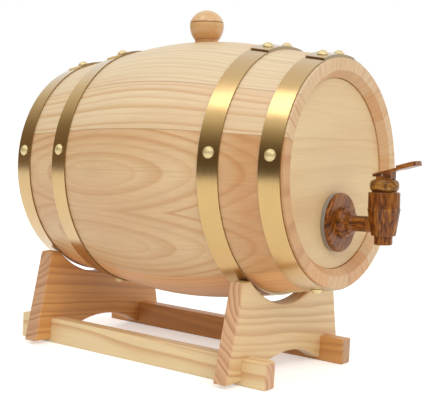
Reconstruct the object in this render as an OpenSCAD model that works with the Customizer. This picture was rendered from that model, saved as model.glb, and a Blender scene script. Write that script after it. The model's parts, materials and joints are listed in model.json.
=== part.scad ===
// Small oak cask for liquor on a pine cradle stand, with a push-lever tap and a turned bung.
// Millimetres. X runs across the cask, Y along it with the tap at -Y, Z up from the table.
// The cask lies slid forward in two like cradles, so it rests a little nose-up, as worked out below.

/* [Cask] */
// Outer radius at the belly
belly_radius = 90; // [87:0.5:93]
// Outer radius at the chimes, the two open rims
chime_radius = 75; // [72:0.5:78]
// Length over the staves
cask_length = 224; // [216:1:236]
// Half of the length that is bent, the rest of each stave being straight
bend_half = 45; // [38:1:50]
// Thickness of the staves
stave_thick = 13.5; // [12:0.5:15]
// Angle that the bung stave takes
bung_stave_arc = 36; // [32:1:40]
// Angle where the bung stave starts, seen from the front and turning left from the right side
bung_stave_start = 80; // [74:1:82]

/* [Chime and heads] */
// Width of the flat end grain round each rim
rim_land = 8; // [6:0.5:9]
// Depth from the rim to the head board
head_recess = 6; // [5:0.5:8]
// Thickness of a head board
head_thick = 9; // [8:0.5:11]
// Thickness of the tongue round a head board
tongue_thick = 5; // [4:0.5:6]
// Depth of the groove that the tongue sits in
croze_depth = 3; // [2:0.5:4]
// Clearance between a tongue and its groove
croze_clear = 0.1; // [0.05:0.05:0.2]

/* [Hoops] */
// Width of a hoop
hoop_width = 14; // [12:0.5:16]
// Thickness of the hoop strip
hoop_thick = 1; // [0.8:0.1:1.4]
// Distance from the rim to the end hoop
end_hoop_inset = 1.5; // [1:0.5:3]
// Distance from the rim to the inner hoop
inner_hoop_inset = 42; // [38:1:46]
// Angle where a hoop's lap starts
lap_start = 79; // [76:1:81]
// Angle that a hoop's two ends lap over each other
lap_arc = 30; // [28:1:34]
// Diameter of a nail's dome
nail_dome = 7.6; // [6:0.2:8.4]
// Height of a nail's dome
nail_height = 2.4; // [1.6:0.2:2.8]
// Diameter of a nail's shank
nail_shank = 1.8; // [1.4:0.2:2.2]
// Length of a nail under its dome
nail_length = 9; // [7:0.5:11]
// Clearance round a nail's shank
nail_clear = 0.05; // [0.03:0.01:0.1]

/* [Bung] */
// Diameter of the turned knob
knob_dia = 24.2; // [22:0.2:27]
// Height of the knob
knob_height = 20.4; // [18:0.2:23]
// Diameter of the knob's foot
knob_foot = 18; // [17.4:0.2:20]
// Gap between the knob's foot and the top of the cask
knob_stand = 2.2; // [1.6:0.2:3]
// Diameter of the plug at the top of its hole
plug_top_dia = 16.6; // [15:0.2:17]
// Diameter of the plug at its lower end
plug_low_dia = 14.6; // [13:0.2:14.8]
// Length of the plug below the top of the cask
plug_length = 20; // [17:0.5:24]
// Clearance round the plug in its hole
plug_clear = 0.2; // [0.15:0.05:0.3]
// Width of the line scored round the knob
score_width = 0.8; // [0.6:0.1:1.2]

/* [Stand] */
// Clear distance between the two cradle boards
board_gap = 158; // [150:1:164]
// Thickness of a cradle board
board_thick = 11; // [10:0.5:13]
// Width of a cradle board at its top
board_top = 114; // [110:1:118]
// Width of a cradle board over its feet
board_foot = 142; // [138:1:150]
// Height of a cradle board's top above the table
board_height = 66.5; // [62:0.5:72]
// Width of the flat on top of each horn
horn_flat = 8.3; // [6:0.5:10]
// Radius of the saddle between the horns
saddle_radius = 71.5; // [66:0.5:76]
// Gap between a foot and the table
foot_gap = 2.7; // [2:0.1:4]
// Height of the arch under a board above the table
arch_top = 14; // [10:0.5:16]
// Width of the arch between the feet
arch_width = 84; // [76:1:88]
// Bevel along the edges of the boards and rails
edge_bevel = 0.8; // [0.4:0.1:1.2]
// Length of a rail
rail_length = 217.5; // [208:0.5:240]
// Width of a rail
rail_width = 10.9; // [9:0.1:11.5]
// Height of a rail
rail_height = 17.9; // [16:0.1:22]
// Distance between the outer faces of the rails
rail_span = 111; // [108:0.5:116]
// Depth of the notch in a rail's top that a board drops into
lap_depth = 5; // [3:0.5:7]
// Clearance round a lapped joint
lap_clear = 0.1; // [0.05:0.05:0.2]
// How far the cask lies forward of the middle of the stand
cask_forward = 13.5; // [12:0.5:16]
// Clearance between the cask and the horns it lies on
seat_clear = 0.2; // [0.1:0.05:0.4]

/* [Tap] */
// Distance of the tap below the cask's axis
tap_drop = 31.8; // [28:0.2:36]
// Distance from the head board to the tap's upright
tap_reach = 35.3; // [33:0.1:44]
// Diameter of the flange
flange_dia = 38.6; // [34:0.2:42]
// Thickness of the flange
flange_thick = 3; // [2.4:0.2:4]
// Diameter of the bell behind the shaft
bell_dia = 20.6; // [18:0.2:24]
// Length of the bell
bell_length = 9.5; // [7:0.5:11]
// Diameter of the level shaft
shaft_dia = 10.2; // [9:0.2:11]
// Diameter of the threaded shank through the head
shank_dia = 16; // [14:0.5:18]
// Diameter of the way through the shank
way_dia = 6.4; // [5:0.2:7]
// Clearance between the shank and the hole in the head
shank_clear = 0.3; // [0.2:0.1:0.5]
// Thickness of the clear washer behind the flange
washer_thick = 3; // [2:0.2:4]
// Thickness of the washer inside the cask
inner_washer_thick = 2; // [1.5:0.1:3]
// Thickness of the nut inside the cask
nut_thick = 7; // [5:0.5:9]
// Width of the nut across its flats
nut_flats = 26; // [24:0.5:30]
// Length of the shank past the nut
shank_past = 4; // [2:0.5:6]
// Diameter of the upright at its widest
upright_dia = 21; // [20.6:0.1:23]
// Diameter of the upright at its top
upright_top_dia = 20.2; // [19.6:0.1:20.4]
// Diameter of the upright at its foot
upright_foot_dia = 15.9; // [15.6:0.1:18]
// Height of the upright's top above the shaft's axis
upright_top = 20.9; // [19:0.1:24]
// Height of the step line round the upright
upright_step = 10.4; // [9:0.1:12]
// Depth of the upright's foot below the shaft's axis
upright_foot = 6.8; // [6.4:0.1:8]
// Diameter of the nozzle
nozzle_dia = 11.7; // [11:0.1:13]
// Length of the nozzle below the upright
nozzle_length = 5.8; // [4:0.1:9]
// Diameter of the outlet
outlet_dia = 7.2; // [6:0.2:8]

/* [Valve] */
// Diameter of the valve chamber
chamber_dia = 13.2; // [12.6:0.1:13.4]
// Diameter of the bonnet's spigot
spigot_dia = 15.6; // [15:0.1:16.4]
// Length of the bonnet's spigot
spigot_length = 8.5; // [7:0.5:9.5]
// Clearance of the parts that slide or screw into each other
run_clear = 0.05; // [0.03:0.01:0.08]
// Diameter of the bonnet's bead
bonnet_dia = 18.6; // [17.6:0.2:20]
// Height of the bonnet's bead
bonnet_height = 8.2; // [7.4:0.1:10]
// Radius round the edges of the bonnet's bead
bonnet_round = 3.4; // [2.6:0.1:3.6]
// Diameter of the stem
stem_dia = 3.8; // [3.4:0.1:4.2]
// Diameter of the rubber seat cup
cup_dia = 11; // [10:0.1:11.6]
// Height of the rubber seat cup
cup_height = 5; // [4.4:0.1:6]
// Thickness of the stem's collar, which the spring bears on
collar_thick = 1.2; // [0.8:0.1:1.6]
// Diameter of the spring's wire
wire_dia = 0.8; // [0.6:0.1:1]
// Mean diameter of the spring
spring_dia = 7; // [6.4:0.1:7.4]
// Number of curls in the spring
spring_curls = 6; // [4:1:8]
// Diameter of the spring's pocket in the bonnet
pocket_dia = 9; // [8.6:0.1:10]
// Thickness of the bonnet over the spring's pocket
pocket_roof = 6; // [5:0.5:7]

/* [Lever] */
// Angle that the lever's arm rises at rest
arm_rise = 14.5; // [12:0.5:18]
// Reach of the lever's tip from the upright's axis
lever_reach = 23.3; // [20:0.1:30]
// Reach of the lever's heel behind the upright's axis
heel_reach = 6.6; // [6:0.1:8]
// Thickness of the lever's arm
arm_thick = 1.9; // [1.6:0.1:2.6]
// Width of the lever's arm
arm_width = 7; // [6.4:0.1:8]
// Thickness of the thumb pad
pad_thick = 2.9; // [2.7:0.1:4]
// Width of the thumb pad
pad_width = 13; // [10:0.5:16]
// Length of the thumb pad
pad_length = 12.6; // [9:0.1:13]
// Height of the pin above the bonnet
pin_height = 2.6; // [2.4:0.1:3]
// Diameter of the lever's pin
pin_dia = 1.8; // [1.4:0.1:2]
// Thickness of the stem's flat tang
tang_thick = 2.2; // [1.8:0.1:2.6]

/* [Hidden] */
$fn = 96;
eps = 0.01; // how far a cut runs past the face it opens
far = 400;  // longer than anything that a cut has to pass

// The cask's side is an arc over the bent middle with a straight run to each rim.
half_length = cask_length / 2;
straight_run = half_length - bend_half;
function half_tangent(t, n) = n == 0 ? t :
    half_tangent((belly_radius - chime_radius) / (bend_half + 2 * straight_run / (1 - t * t)), n - 1);
side_tangent = half_tangent(0.08, 12);
side_slope = 2 * atan(side_tangent);
bend_radius = bend_half / sin(side_slope);
knee_radius = belly_radius - bend_half * side_tangent;
function side_radius(y) = abs(y) < bend_half
    ? belly_radius - bend_radius + sqrt(bend_radius * bend_radius - y * y)
    : chime_radius + (half_length - abs(y)) * tan(side_slope);

// Middles of the four hoops along the cask.
hoop_places = [-(half_length - end_hoop_inset - hoop_width / 2),
               -(half_length - inner_hoop_inset - hoop_width / 2),
               half_length - inner_hoop_inset - hoop_width / 2,
               half_length - end_hoop_inset - hoop_width / 2];
hoop_clear = 0.02; // a driven hoop is tight on its staves

// The cask lies on two of its hoops: the front inner one on the rear edges of the front horns, and
// the rear end one on the rear horns. That settles the cask's height and its tilt.
horn_x = board_top / 2 - horn_flat;
horn_y = board_gap / 2 + edge_bevel;
function seat_depth(y) = sqrt(pow(side_radius(y) + hoop_clear + hoop_thick, 2) - horn_x * horn_x);
function settle(tilt, depth, n) = n == 0 ? [tilt, depth] :
    let (front_y = (cask_forward - horn_y) * cos(tilt) + depth * sin(tilt),
         rear_y = max((cask_forward + horn_y) * cos(tilt) + depth * sin(tilt),
             hoop_places[3] - hoop_width / 2),
         next = atan((seat_depth(front_y) - seat_depth(rear_y)) / (rear_y - front_y)))
    settle(next, seat_depth(front_y) * cos(next) + front_y * sin(next), n - 1);
seat = settle(0, 60, 12);
cask_tilt = seat[0];
cask_height = board_height + seat[1] + seat_clear;

// Stave angles, and the angles of the nails round each hoop: one more holds the lap's other end.
stave_count = 14; // plain staves, beside the wide bung stave: one node each
stave_arc = (360 - bung_stave_arc) / stave_count;
stave_first = bung_stave_start + bung_stave_arc;
nail_angles = [lap_start + 7, lap_start + lap_arc - 7, 171, 256, 341];
function on_lap(angle) = angle > lap_start && angle < lap_start + lap_arc;
// The two hoops that the cask lies on have no nail low down, where the saddles are close.
function nails_of(y) = y == hoop_places[1] || y == hoop_places[3]
    ? [for (angle = nail_angles) if (angle != 256) angle] : nail_angles;

// Head boards and the groove they sit in, measured from the rim.
head_radius = side_radius(half_length - head_recess) - stave_thick - croze_clear;
groove_depth = head_recess + (head_thick - tongue_thick) / 2;
groove_radius = side_radius(half_length - groove_depth - tongue_thick) - stave_thick + croze_depth;
tongue_radius = groove_radius - croze_clear;
rim_inner = chime_radius - rim_land;
head_face = half_length - head_recess;

// Tap places in its own frame: the origin is where the shaft's axis meets the upright's axis.
seat_face = -(way_dia / 2 + 0.3);
floor_z = seat_face;
flange_back = tap_reach - washer_thick;
flange_front = flange_back - flange_thick;
nut_front = tap_reach + head_thick + inner_washer_thick;
shank_end = nut_front + nut_thick + shank_past;
bonnet_top = upright_top + bonnet_height;
bonnet_flat = bonnet_dia / 2 - bonnet_round;
collar_z = floor_z + cup_height;
pocket_top = bonnet_top - pocket_roof;
spring_low = collar_z + collar_thick;
nozzle_low = -(upright_foot + nozzle_length);
pin_z = bonnet_top + pin_height;
arm_low = bonnet_top + 1.6; // underside of the lever's heel
block_front = bonnet_flat;
block_back = 4.2;
block_width = arm_width + 1;

// The part's own frame has its origin under the middle of its box.
tip_y = -(half_length - head_recess + tap_reach) - lever_reach;
tip_z = arm_low - tap_drop + (heel_reach + lever_reach) * tan(arm_rise);
front_most = -cask_forward + tip_y * cos(cask_tilt) + tip_z * sin(cask_tilt);
centre_shift = -(front_most + rail_length / 2) / 2;

// Puts what is drawn in the stand's frame, or in the cask's frame, in the part's frame.
module in_stand() { translate([0, centre_shift, 0]) children(); }
module in_cask() {
    in_stand() translate([0, -cask_forward, cask_height]) rotate([-cask_tilt, 0, 0]) children();
}
module in_tap() { in_cask() translate([0, -head_face - tap_reach, -tap_drop]) children(); }

// Turns a profile about the cask's axis: its X is the radius and its Y runs along the axis.
module about_axis(angle = 360, start = 0) {
    rotate([90, 0, 0]) rotate([0, 0, start]) rotate_extrude(angle = angle) children();
}
// Turns a profile about the tap's shaft: its X is the radius and its Y runs toward the cask.
module about_shaft() { rotate([-90, 0, 0]) rotate_extrude() children(); }

// The side's outline as a filled profile, grown by the given amount. The bend's arc stands a
// hair proud of the straight runs, so that it crosses them cleanly just past each knee.
module side_outline(grow) {
    inner = 30;
    proud = 0.004;
    polygon([[inner, -half_length], [chime_radius + grow, -half_length],
        [knee_radius + grow, -bend_half], [knee_radius + grow, bend_half],
        [chime_radius + grow, half_length], [inner, half_length]]);
    intersection() {
        translate([belly_radius - bend_radius + grow, 0]) circle(r = bend_radius + proud);
        translate([inner + 1, -bend_half - 4]) square([belly_radius, 2 * bend_half + 8]);
    }
}

module stave_profile() {
    difference() {
        side_outline(0);
        translate([0, -half_length - 1]) square([chime_radius - stave_thick, cask_length + 2]);
        side_outline(-stave_thick);
        for (side = [-1, 1]) {
            polygon([[30, side * (half_length + eps)], [rim_inner, side * (half_length + eps)],
                [rim_inner, side * half_length], [head_radius + croze_clear, side * (head_face + 1)],
                [30, side * (head_face + 1)]]);
            translate([30, side > 0 ? half_length - groove_depth - tongue_thick - croze_clear
                : -half_length + groove_depth - croze_clear])
                square([groove_radius - 30, tongue_thick + 2 * croze_clear]);
        }
    }
}

// Stands a piece on the cask's side at a place along it and an angle round it, pointing outward.
module on_side(y, angle, out = 0) {
    rotate([0, -angle, 0]) translate([side_radius(y), y, 0])
        rotate([0, 0, y > 0 ? side_slope : -side_slope]) translate([out, 0, 0]) rotate([0, 90, 0])
            children();
}

module nail_holes(from, to) {
    for (y = hoop_places) for (angle = nails_of(y))
        if (angle > from - 3 && angle < to + 3)
            on_side(y, angle, -nail_length) cylinder(r = nail_shank / 2 + nail_clear,
                h = nail_length + 3 * hoop_thick);
}

module stave_between(from, to) {
    difference() {
        about_axis(to - from, from) stave_profile();
        nail_holes(from, to);
    }
}

module stave(number) {
    color("burlywood") in_cask()
        stave_between(stave_first + (number - 1) * stave_arc, stave_first + number * stave_arc);
}

plug_slope = (plug_top_dia - plug_low_dia) / 2 / plug_length;
module plug_shape(grow, above, below) {
    translate([0, 0, belly_radius - plug_length - below])
        cylinder(r1 = plug_low_dia / 2 - plug_slope * below + grow,
            r2 = plug_top_dia / 2 + plug_slope * above + grow, h = plug_length + above + below);
}

module bung_stave() {
    color("burlywood") in_cask() difference() {
        stave_between(bung_stave_start, stave_first);
        plug_shape(plug_clear, 5, 5);
    }
}

module bung() {
    foot_z = belly_radius + knob_stand;
    widest = knob_height - 10.6;
    color("peru") in_cask() {
        plug_shape(0, knob_stand, 0);
        translate([0, 0, foot_z]) rotate_extrude() difference() {
            union() {
                // upper half of the knob, then its lower half drawn in to the foot
                intersection() {
                    translate([0, widest]) knob_top(knob_dia / 2, knob_height - widest);
                    translate([0, widest]) square([knob_dia, knob_height]);
                }
                intersection() {
                    translate([knob_dia / 2 - lower_round(widest), widest])
                        circle(r = lower_round(widest));
                    square([knob_dia, widest]);
                }
                square([knob_foot / 2 - 1, widest]);
            }
            translate([knob_dia / 2, widest + 1.8]) rotate(45)
                square(score_width * 0.9, center = true);
        }
    }
}
// Radius of the arc from the knob's widest line down to its foot.
function lower_round(height) = let (drawn = (knob_dia - knob_foot) / 2)
    (drawn * drawn + height * height) / (2 * drawn);
// A flattened dome from true arcs: a small arc at the side and a large one over the top.
module knob_top(wide, tall) {
    side = tall * 0.72;
    rest = wide - side;
    over = (rest * rest + tall * tall - side * side) / (2 * (tall - side));
    union() {
        translate([rest, 0]) circle(r = side);
        intersection() {
            translate([0, tall - over]) circle(r = over);
            polygon([[0, tall - over], [0, tall + 1],
                [rest * (tall + 1 - tall + over) / (over - tall), tall + 1]]);
        }
        square([rest, side * 0.7]);
    }
}

// A head board: a disc with a bevelled tongue all round, its face toward the near rim.
module head_profile() {
    tongue = (head_thick - tongue_thick) / 2;
    polygon([[0, 0], [head_radius - 0.5, 0], [head_radius, 0.5], [head_radius, tongue],
        [tongue_radius, tongue + 0.4], [tongue_radius, tongue + tongue_thick - 0.4],
        [head_radius, tongue + tongue_thick], [head_radius, head_thick - 0.5],
        [head_radius - 0.5, head_thick], [0, head_thick]]);
}

module front_head() {
    color("wheat") in_cask() difference() {
        translate([0, -head_face, 0]) rotate([-90, 0, 0]) rotate_extrude() head_profile();
        translate([0, -head_face - 1, -tap_drop]) rotate([-90, 0, 0])
            cylinder(r = shank_dia / 2 + shank_clear, h = head_thick + 2);
    }
}
module rear_head() {
    color("wheat") in_cask()
        translate([0, head_face, 0]) rotate([90, 0, 0]) rotate_extrude() head_profile();
}

// A hoop: a strip bent to the side's slope, with one end lapped over the other. The two ends are
// riveted into one there, so the lapping end is drawn from halfway through the strip under it. Its
// edges are filed back a little from the strip's own.
module hoop_profile(y, from, to, filed = 0) {
    // about_axis turns Y over, so the profile is drawn for the other end
    near = -y - hoop_width / 2 + filed;
    end = -y + hoop_width / 2 - filed;
    polygon([[side_radius(near) + from, near], [side_radius(end) + from, end],
        [side_radius(end) + to, end], [side_radius(near) + to, near]]);
}
module hoop(y) {
    color("gold") in_cask() difference() {
        union() {
            about_axis() hoop_profile(y, hoop_clear, hoop_clear + hoop_thick);
            about_axis(lap_arc, lap_start)
                hoop_profile(y, hoop_clear + hoop_thick / 2, hoop_clear + 2 * hoop_thick, 0.2);
        }
        for (angle = nails_of(y)) on_side(y, angle, -2)
            cylinder(r = nail_shank / 2 + nail_clear, h = 3 * hoop_thick + 4);
    }
}
module front_end_hoop() { hoop(hoop_places[0]); }
module front_inner_hoop() { hoop(hoop_places[1]); }
module rear_inner_hoop() { hoop(hoop_places[2]); }
module rear_end_hoop() { hoop(hoop_places[3]); }

// A domed nail, drawn with the underside of its dome at the origin.
module nail() {
    dome = (pow(nail_dome / 2, 2) + nail_height * nail_height) / (2 * nail_height);
    rotate_extrude() union() {
        intersection() {
            translate([0, nail_height - dome]) circle(r = dome);
            square([nail_dome, nail_height + 1]);
        }
        polygon([[0, 0.5], [nail_shank / 2, 0.5], [nail_shank / 2, 1 - nail_length + hoop_thick],
            [0, -nail_length + hoop_thick + 0.3]]);
    }
}
module hoop_nails() {
    color("goldenrod") in_cask() for (y = hoop_places) for (angle = nails_of(y)) {
        out = hoop_clear + (on_lap(angle) ? 2 : 1) * hoop_thick;
        on_side(y, angle, out / cos(side_slope) + 0.1) nail();
    }
}

// Outline of a cradle board: two horns, a saddle, slanted sides and an arch between the feet.
saddle_z = board_height + sqrt(saddle_radius * saddle_radius - horn_x * horn_x);
arch_rise = arch_top - foot_gap;
arch_radius = (pow(arch_width / 2, 2) + arch_rise * arch_rise) / (2 * arch_rise);
arch_z = arch_top - arch_radius;
rail_middle = rail_span / 2 - rail_width / 2;
notch_top = rail_height - lap_depth;

module bevel_line(from, to, face) {
    run = [to[0] - from[0], to[1] - from[1]];
    size = edge_bevel * sqrt(2);
    translate([from[0], face, from[1]]) rotate([0, -atan2(run[1], run[0]), 0])
        translate([-1, 0, 0]) rotate([45, 0, 0]) translate([0, -size / 2, -size / 2])
            cube([norm(run) + 2, size, size]);
}

module cradle() {
    half_top = board_top / 2;
    half_foot = board_foot / 2;
    lean = (half_foot - half_top) / (board_height - foot_gap);
    corner = 1.5 * edge_bevel; // the horn's outer corner is rubbed down
    difference() {
        rotate([90, 0, 0]) linear_extrude(board_thick, center = true) difference() {
            polygon([[-half_foot, foot_gap], [-half_top - corner * lean, board_height - corner],
                [corner - half_top, board_height], [half_top - corner, board_height],
                [half_top + corner * lean, board_height - corner], [half_foot, foot_gap]]);
            translate([0, saddle_z]) circle(r = saddle_radius);
            translate([0, arch_z]) circle(r = arch_radius);
            for (side = [-1, 1]) translate([side * rail_middle - rail_width / 2 - lap_clear, -1])
                square([rail_width + 2 * lap_clear, notch_top + 1]);
        }
        for (face = [-board_thick / 2, board_thick / 2]) {
            for (side = [-1, 1]) {
                bevel_line([side * half_foot, foot_gap], [side * half_top, board_height], face);
                bevel_line([side * horn_x, board_height], [side * half_top, board_height], face);
                bevel_line([side * (rail_span / 2 + 1), foot_gap], [side * half_foot, foot_gap], face);
            }
            ring_bevel(saddle_z, saddle_radius, face);
            ring_bevel(arch_z, arch_radius, face);
        }
    }
}
// Bevels the rim that a round cut leaves on one face of a board.
module ring_bevel(z, radius, face) {
    side = face > 0 ? 1 : -1;
    translate([0, face, z]) rotate([side > 0 ? -90 : 90, 0, 0]) translate([0, 0, -edge_bevel])
        cylinder(r1 = radius, r2 = radius + 2 * edge_bevel, h = 2 * edge_bevel);
}
module front_cradle() {
    color("tan") in_stand() translate([0, -(board_gap + board_thick) / 2, 0]) cradle();
}
module rear_cradle() {
    color("tan") in_stand() translate([0, (board_gap + board_thick) / 2, 0]) cradle();
}

module rail(side) {
    color("tan") in_stand() translate([side * rail_middle, 0, 0]) difference() {
        translate([-rail_width / 2, -rail_length / 2, 0])
            cube([rail_width, rail_length, rail_height]);
        for (across = [-1, 1], up = [0, rail_height])
            translate([across * rail_width / 2, 0, up]) rotate([0, 45, 0])
                cube([edge_bevel * sqrt(2), rail_length + 2, edge_bevel * sqrt(2)], center = true);
        for (end = [-1, 1]) translate([0, end * rail_length / 2, 0]) {
            for (up = [0, rail_height]) translate([0, 0, up]) rotate([45, 0, 0])
                cube([rail_width + 2, edge_bevel * sqrt(2), edge_bevel * sqrt(2)], center = true);
            for (across = [-1, 1]) translate([across * rail_width / 2, 0, rail_height / 2])
                rotate([0, 0, 45]) cube([edge_bevel * sqrt(2), edge_bevel * sqrt(2),
                    rail_height + 2], center = true);
        }
        for (end = [-1, 1]) translate([-rail_width, end * (board_gap + board_thick) / 2
            - board_thick / 2 - lap_clear, notch_top])
            cube([2 * rail_width, board_thick + 2 * lap_clear, lap_depth + 1]);
    }
}
module left_rail() { rail(-1); }
module right_rail() { rail(1); }

// The moulded tap: an upright on a shaft, with a bell, a flange and a shank through the head.
module tap_body() {
    shaft_radius = shaft_dia / 2;
    bell_radius = bell_dia / 2;
    flare = 2.6;
    color("saddlebrown") in_tap() difference() {
        union() {
            rotate_extrude() union() {
                polygon([[0, -upright_foot], [upright_foot_dia / 2 - 0.5, -upright_foot],
                    [upright_foot_dia / 2, -upright_foot + 0.5], [upright_dia / 2, upright_step],
                    [upright_dia / 2 - 0.35, upright_step + 0.35],
                    [upright_top_dia / 2, upright_top - 0.4], [upright_top_dia / 2 - 0.4, upright_top],
                    [0, upright_top]]);
                polygon([[0, nozzle_low], [nozzle_dia / 2 - 0.5, nozzle_low],
                    [nozzle_dia / 2, nozzle_low + 0.5], [nozzle_dia / 2, 0], [0, 0]]);
            }
            about_shaft() union() {
                square([shaft_radius, flange_back]);
                // the bell: a dome over its root with a hollow flare down to the shaft
                intersection() {
                    translate([bell_radius - bell_length + flare, flange_front])
                        circle(r = bell_length - flare);
                    translate([0, flange_front - bell_length]) square([bell_radius, bell_length]);
                }
                difference() {
                    translate([0, flange_front - bell_length])
                        square([shaft_radius + flare, bell_length]);
                    translate([shaft_radius + flare, flange_front - bell_length])
                        circle(r = flare);
                }
                polygon([[0, flange_back], [flange_dia / 2, flange_back],
                    [flange_dia / 2, flange_front + 1.2], [flange_dia / 2 - 0.4, flange_front + 0.4],
                    [flange_dia / 2 - 1.4, flange_front], [0, flange_front]]);
                polygon([[0, flange_front], [shank_dia / 2, flange_front],
                    [shank_dia / 2, shank_end - 1], [shank_dia / 2 - 1, shank_end], [0, shank_end]]);
            }
        }
        // the way in, the valve chamber, the bonnet's seat and the outlet
        rotate([-90, 0, 0]) cylinder(r = way_dia / 2, h = shank_end + 1);
        translate([0, 0, floor_z]) cylinder(r = chamber_dia / 2, h = far);
        translate([0, 0, upright_top - spigot_length - 0.4])
            cylinder(r = spigot_dia / 2 + run_clear, h = far);
        translate([0, 0, nozzle_low - 1]) cylinder(r = outlet_dia / 2, h = far);
    }
}

module flange_washer() {
    color("lightgray") in_tap() about_shaft() polygon([
        [shank_dia / 2 + run_clear, flange_back], [flange_dia / 2 - 0.5, flange_back],
        [flange_dia / 2 - 0.1, flange_back + 0.4], [flange_dia / 2 - 0.1, tap_reach - 0.4],
        [flange_dia / 2 - 0.5, tap_reach], [shank_dia / 2 + run_clear, tap_reach]]);
}
module inner_washer() {
    color("lightgray") in_tap() about_shaft() translate([shank_dia / 2 + run_clear,
        tap_reach + head_thick]) square([nut_flats / 2 - shank_dia / 2, inner_washer_thick]);
}
module shank_nut() {
    color("saddlebrown") in_tap() translate([0, nut_front, 0]) rotate([-90, 0, 0]) difference() {
        intersection() {
            cylinder(r = nut_flats / sqrt(3), h = nut_thick, $fn = 6);
            // the corners of the hexagon are turned off on the washer's side
            cylinder(r1 = nut_flats / 2, r2 = nut_flats, h = nut_flats / 2);
        }
        translate([0, 0, -1]) cylinder(r = shank_dia / 2 + run_clear, h = nut_thick + 2);
    }
}

// The bonnet: a round-edged bead on a spigot, bored for the stem and pocketed for the spring.
module bonnet() {
    color("saddlebrown") in_tap() difference() {
        rotate_extrude() union() {
            translate([0, upright_top]) square([bonnet_flat, bonnet_height]);
            translate([0, upright_top + bonnet_round])
                square([bonnet_dia / 2, bonnet_height - 2 * bonnet_round]);
            for (z = [upright_top + bonnet_round, bonnet_top - bonnet_round])
                translate([bonnet_flat, z]) circle(r = bonnet_round);
            translate([0, upright_top - spigot_length]) square([spigot_dia / 2, spigot_length + 1]);
        }
        translate([0, 0, -far / 2]) cylinder(r = stem_dia / 2 + run_clear, h = far);
        translate([0, 0, upright_top - spigot_length - 1])
            cylinder(r = pocket_dia / 2, h = pocket_top - upright_top + spigot_length + 1);
    }
}

module valve_stem() {
    // the tang starts inside the bonnet, so that the lever's block can tip over it
    tang_low = bonnet_top - 1.6;
    color("darkgray") in_tap() difference() {
        union() {
            translate([0, 0, floor_z + 1.5]) cylinder(r = stem_dia / 2, h = tang_low - floor_z - 1.5);
            translate([0, 0, collar_z]) cylinder(r = spring_dia / 2 + wire_dia, h = collar_thick);
            intersection() {
                translate([0, 0, tang_low - 1]) cylinder(r = stem_dia / 2, h = 20);
                union() {
                    translate([-tang_thick / 2, -stem_dia / 2, tang_low - 1])
                        cube([tang_thick, stem_dia, pin_z - tang_low + 1]);
                    translate([0, 0, pin_z]) rotate([0, 90, 0])
                        cylinder(r = stem_dia / 2, h = tang_thick, center = true);
                }
            }
        }
        translate([0, 0, pin_z]) rotate([0, 90, 0])
            cylinder(r = pin_dia / 2 + run_clear, h = 20, center = true);
    }
}

module seat_cup() {
    color("dimgray") in_tap() difference() {
        translate([0, 0, floor_z]) rotate_extrude() polygon([[0, 0], [cup_dia / 2, 0],
            [cup_dia / 2, 1.6], [cup_dia / 2 - 1.6, 2.6], [cup_dia / 2 - 1.6, cup_height],
            [0, cup_height]]);
        translate([0, 0, floor_z + 1.5]) cylinder(r = stem_dia / 2, h = cup_height);
    }
}

// The spring is one unbroken coil, swept as rings along a helix.
module valve_spring() {
    rings = 8 * spring_curls;
    sides = 6;
    low = spring_low + wire_dia / 2;
    high = pocket_top - wire_dia / 2;
    points = [for (i = [0 : rings], j = [0 : sides - 1])
        let (turn = 360 * i / 8, around = 360 * j / sides,
             r = spring_dia / 2 + wire_dia / 2 * cos(around))
        [r * cos(turn), r * sin(turn), low + (high - low) * i / rings + wire_dia / 2 * sin(around)]];
    faces = concat(
        [for (i = [0 : rings - 1], j = [0 : sides - 1]) let (a = i * sides + j,
            b = i * sides + (j + 1) % sides) [a, a + sides, b]],
        [for (i = [0 : rings - 1], j = [0 : sides - 1]) let (a = i * sides + j,
            b = i * sides + (j + 1) % sides) [a + sides, b + sides, b]],
        [for (j = [1 : sides - 2]) [0, j, j + 1]],
        [for (j = [1 : sides - 2]) [rings * sides, rings * sides + j + 1, rings * sides + j]]);
    color("silver") in_tap() polyhedron(points, faces);
    echo(least_gap = (high - low) / spring_curls - wire_dia);
}

// The lever: a slotted block that rocks on the bonnet, an arm rising outward and a thumb pad.
module lever() {
    arm_length = (heel_reach + lever_reach) / cos(arm_rise);
    color("saddlebrown") in_tap() difference() {
        union() {
            translate([0, heel_reach, arm_low]) rotate([-arm_rise, 0, 0]) {
                translate([-arm_width / 2, -arm_length + 1, 0]) cube([arm_width, arm_length - 1, arm_thick]);
                pad_plate(arm_length);
            }
            // the block is cut off under the arm's top face
            intersection() {
                translate([-block_width / 2, -block_front, bonnet_top])
                    cube([block_width, block_front + block_back, 12]);
                translate([0, heel_reach, arm_low]) rotate([-arm_rise, 0, 0])
                    translate([-far / 2, -far / 2, -far + arm_thick - 0.3]) cube([far, far, far]);
            }
        }
        // rocking edge, slot for the tang, pin hole
        translate([0, -block_front, bonnet_top]) rotate([45, 0, 0])
            cube([far, 0.6, 0.6], center = true);
        translate([-tang_thick / 2 - 0.15, -stem_dia / 2 - 1.2, bonnet_top - 1])
            cube([tang_thick + 0.3, stem_dia + 2.6, pin_height + stem_dia / 2 + 1.4]);
        translate([0, 0, pin_z]) rotate([0, 90, 0])
            cylinder(r = pin_dia / 2 + 0.01, h = far, center = true);
    }
}
// The thumb pad's plate, with round corners at the tip.
module pad_plate(arm_length) {
    corner = 2.5;
    linear_extrude(pad_thick) union() {
        translate([-pad_width / 2, -arm_length + corner]) square([pad_width, pad_length - corner]);
        translate([-pad_width / 2 + corner, -arm_length]) square([pad_width - 2 * corner, pad_length]);
        for (side = [-1, 1]) translate([side * (pad_width / 2 - corner), -arm_length + corner])
            circle(r = corner);
    }
}

module lever_pin() {
    color("silver") in_tap() translate([0, 0, pin_z]) rotate([0, 90, 0])
        cylinder(r = pin_dia / 2, h = block_width - 0.4, center = true);
}

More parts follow.
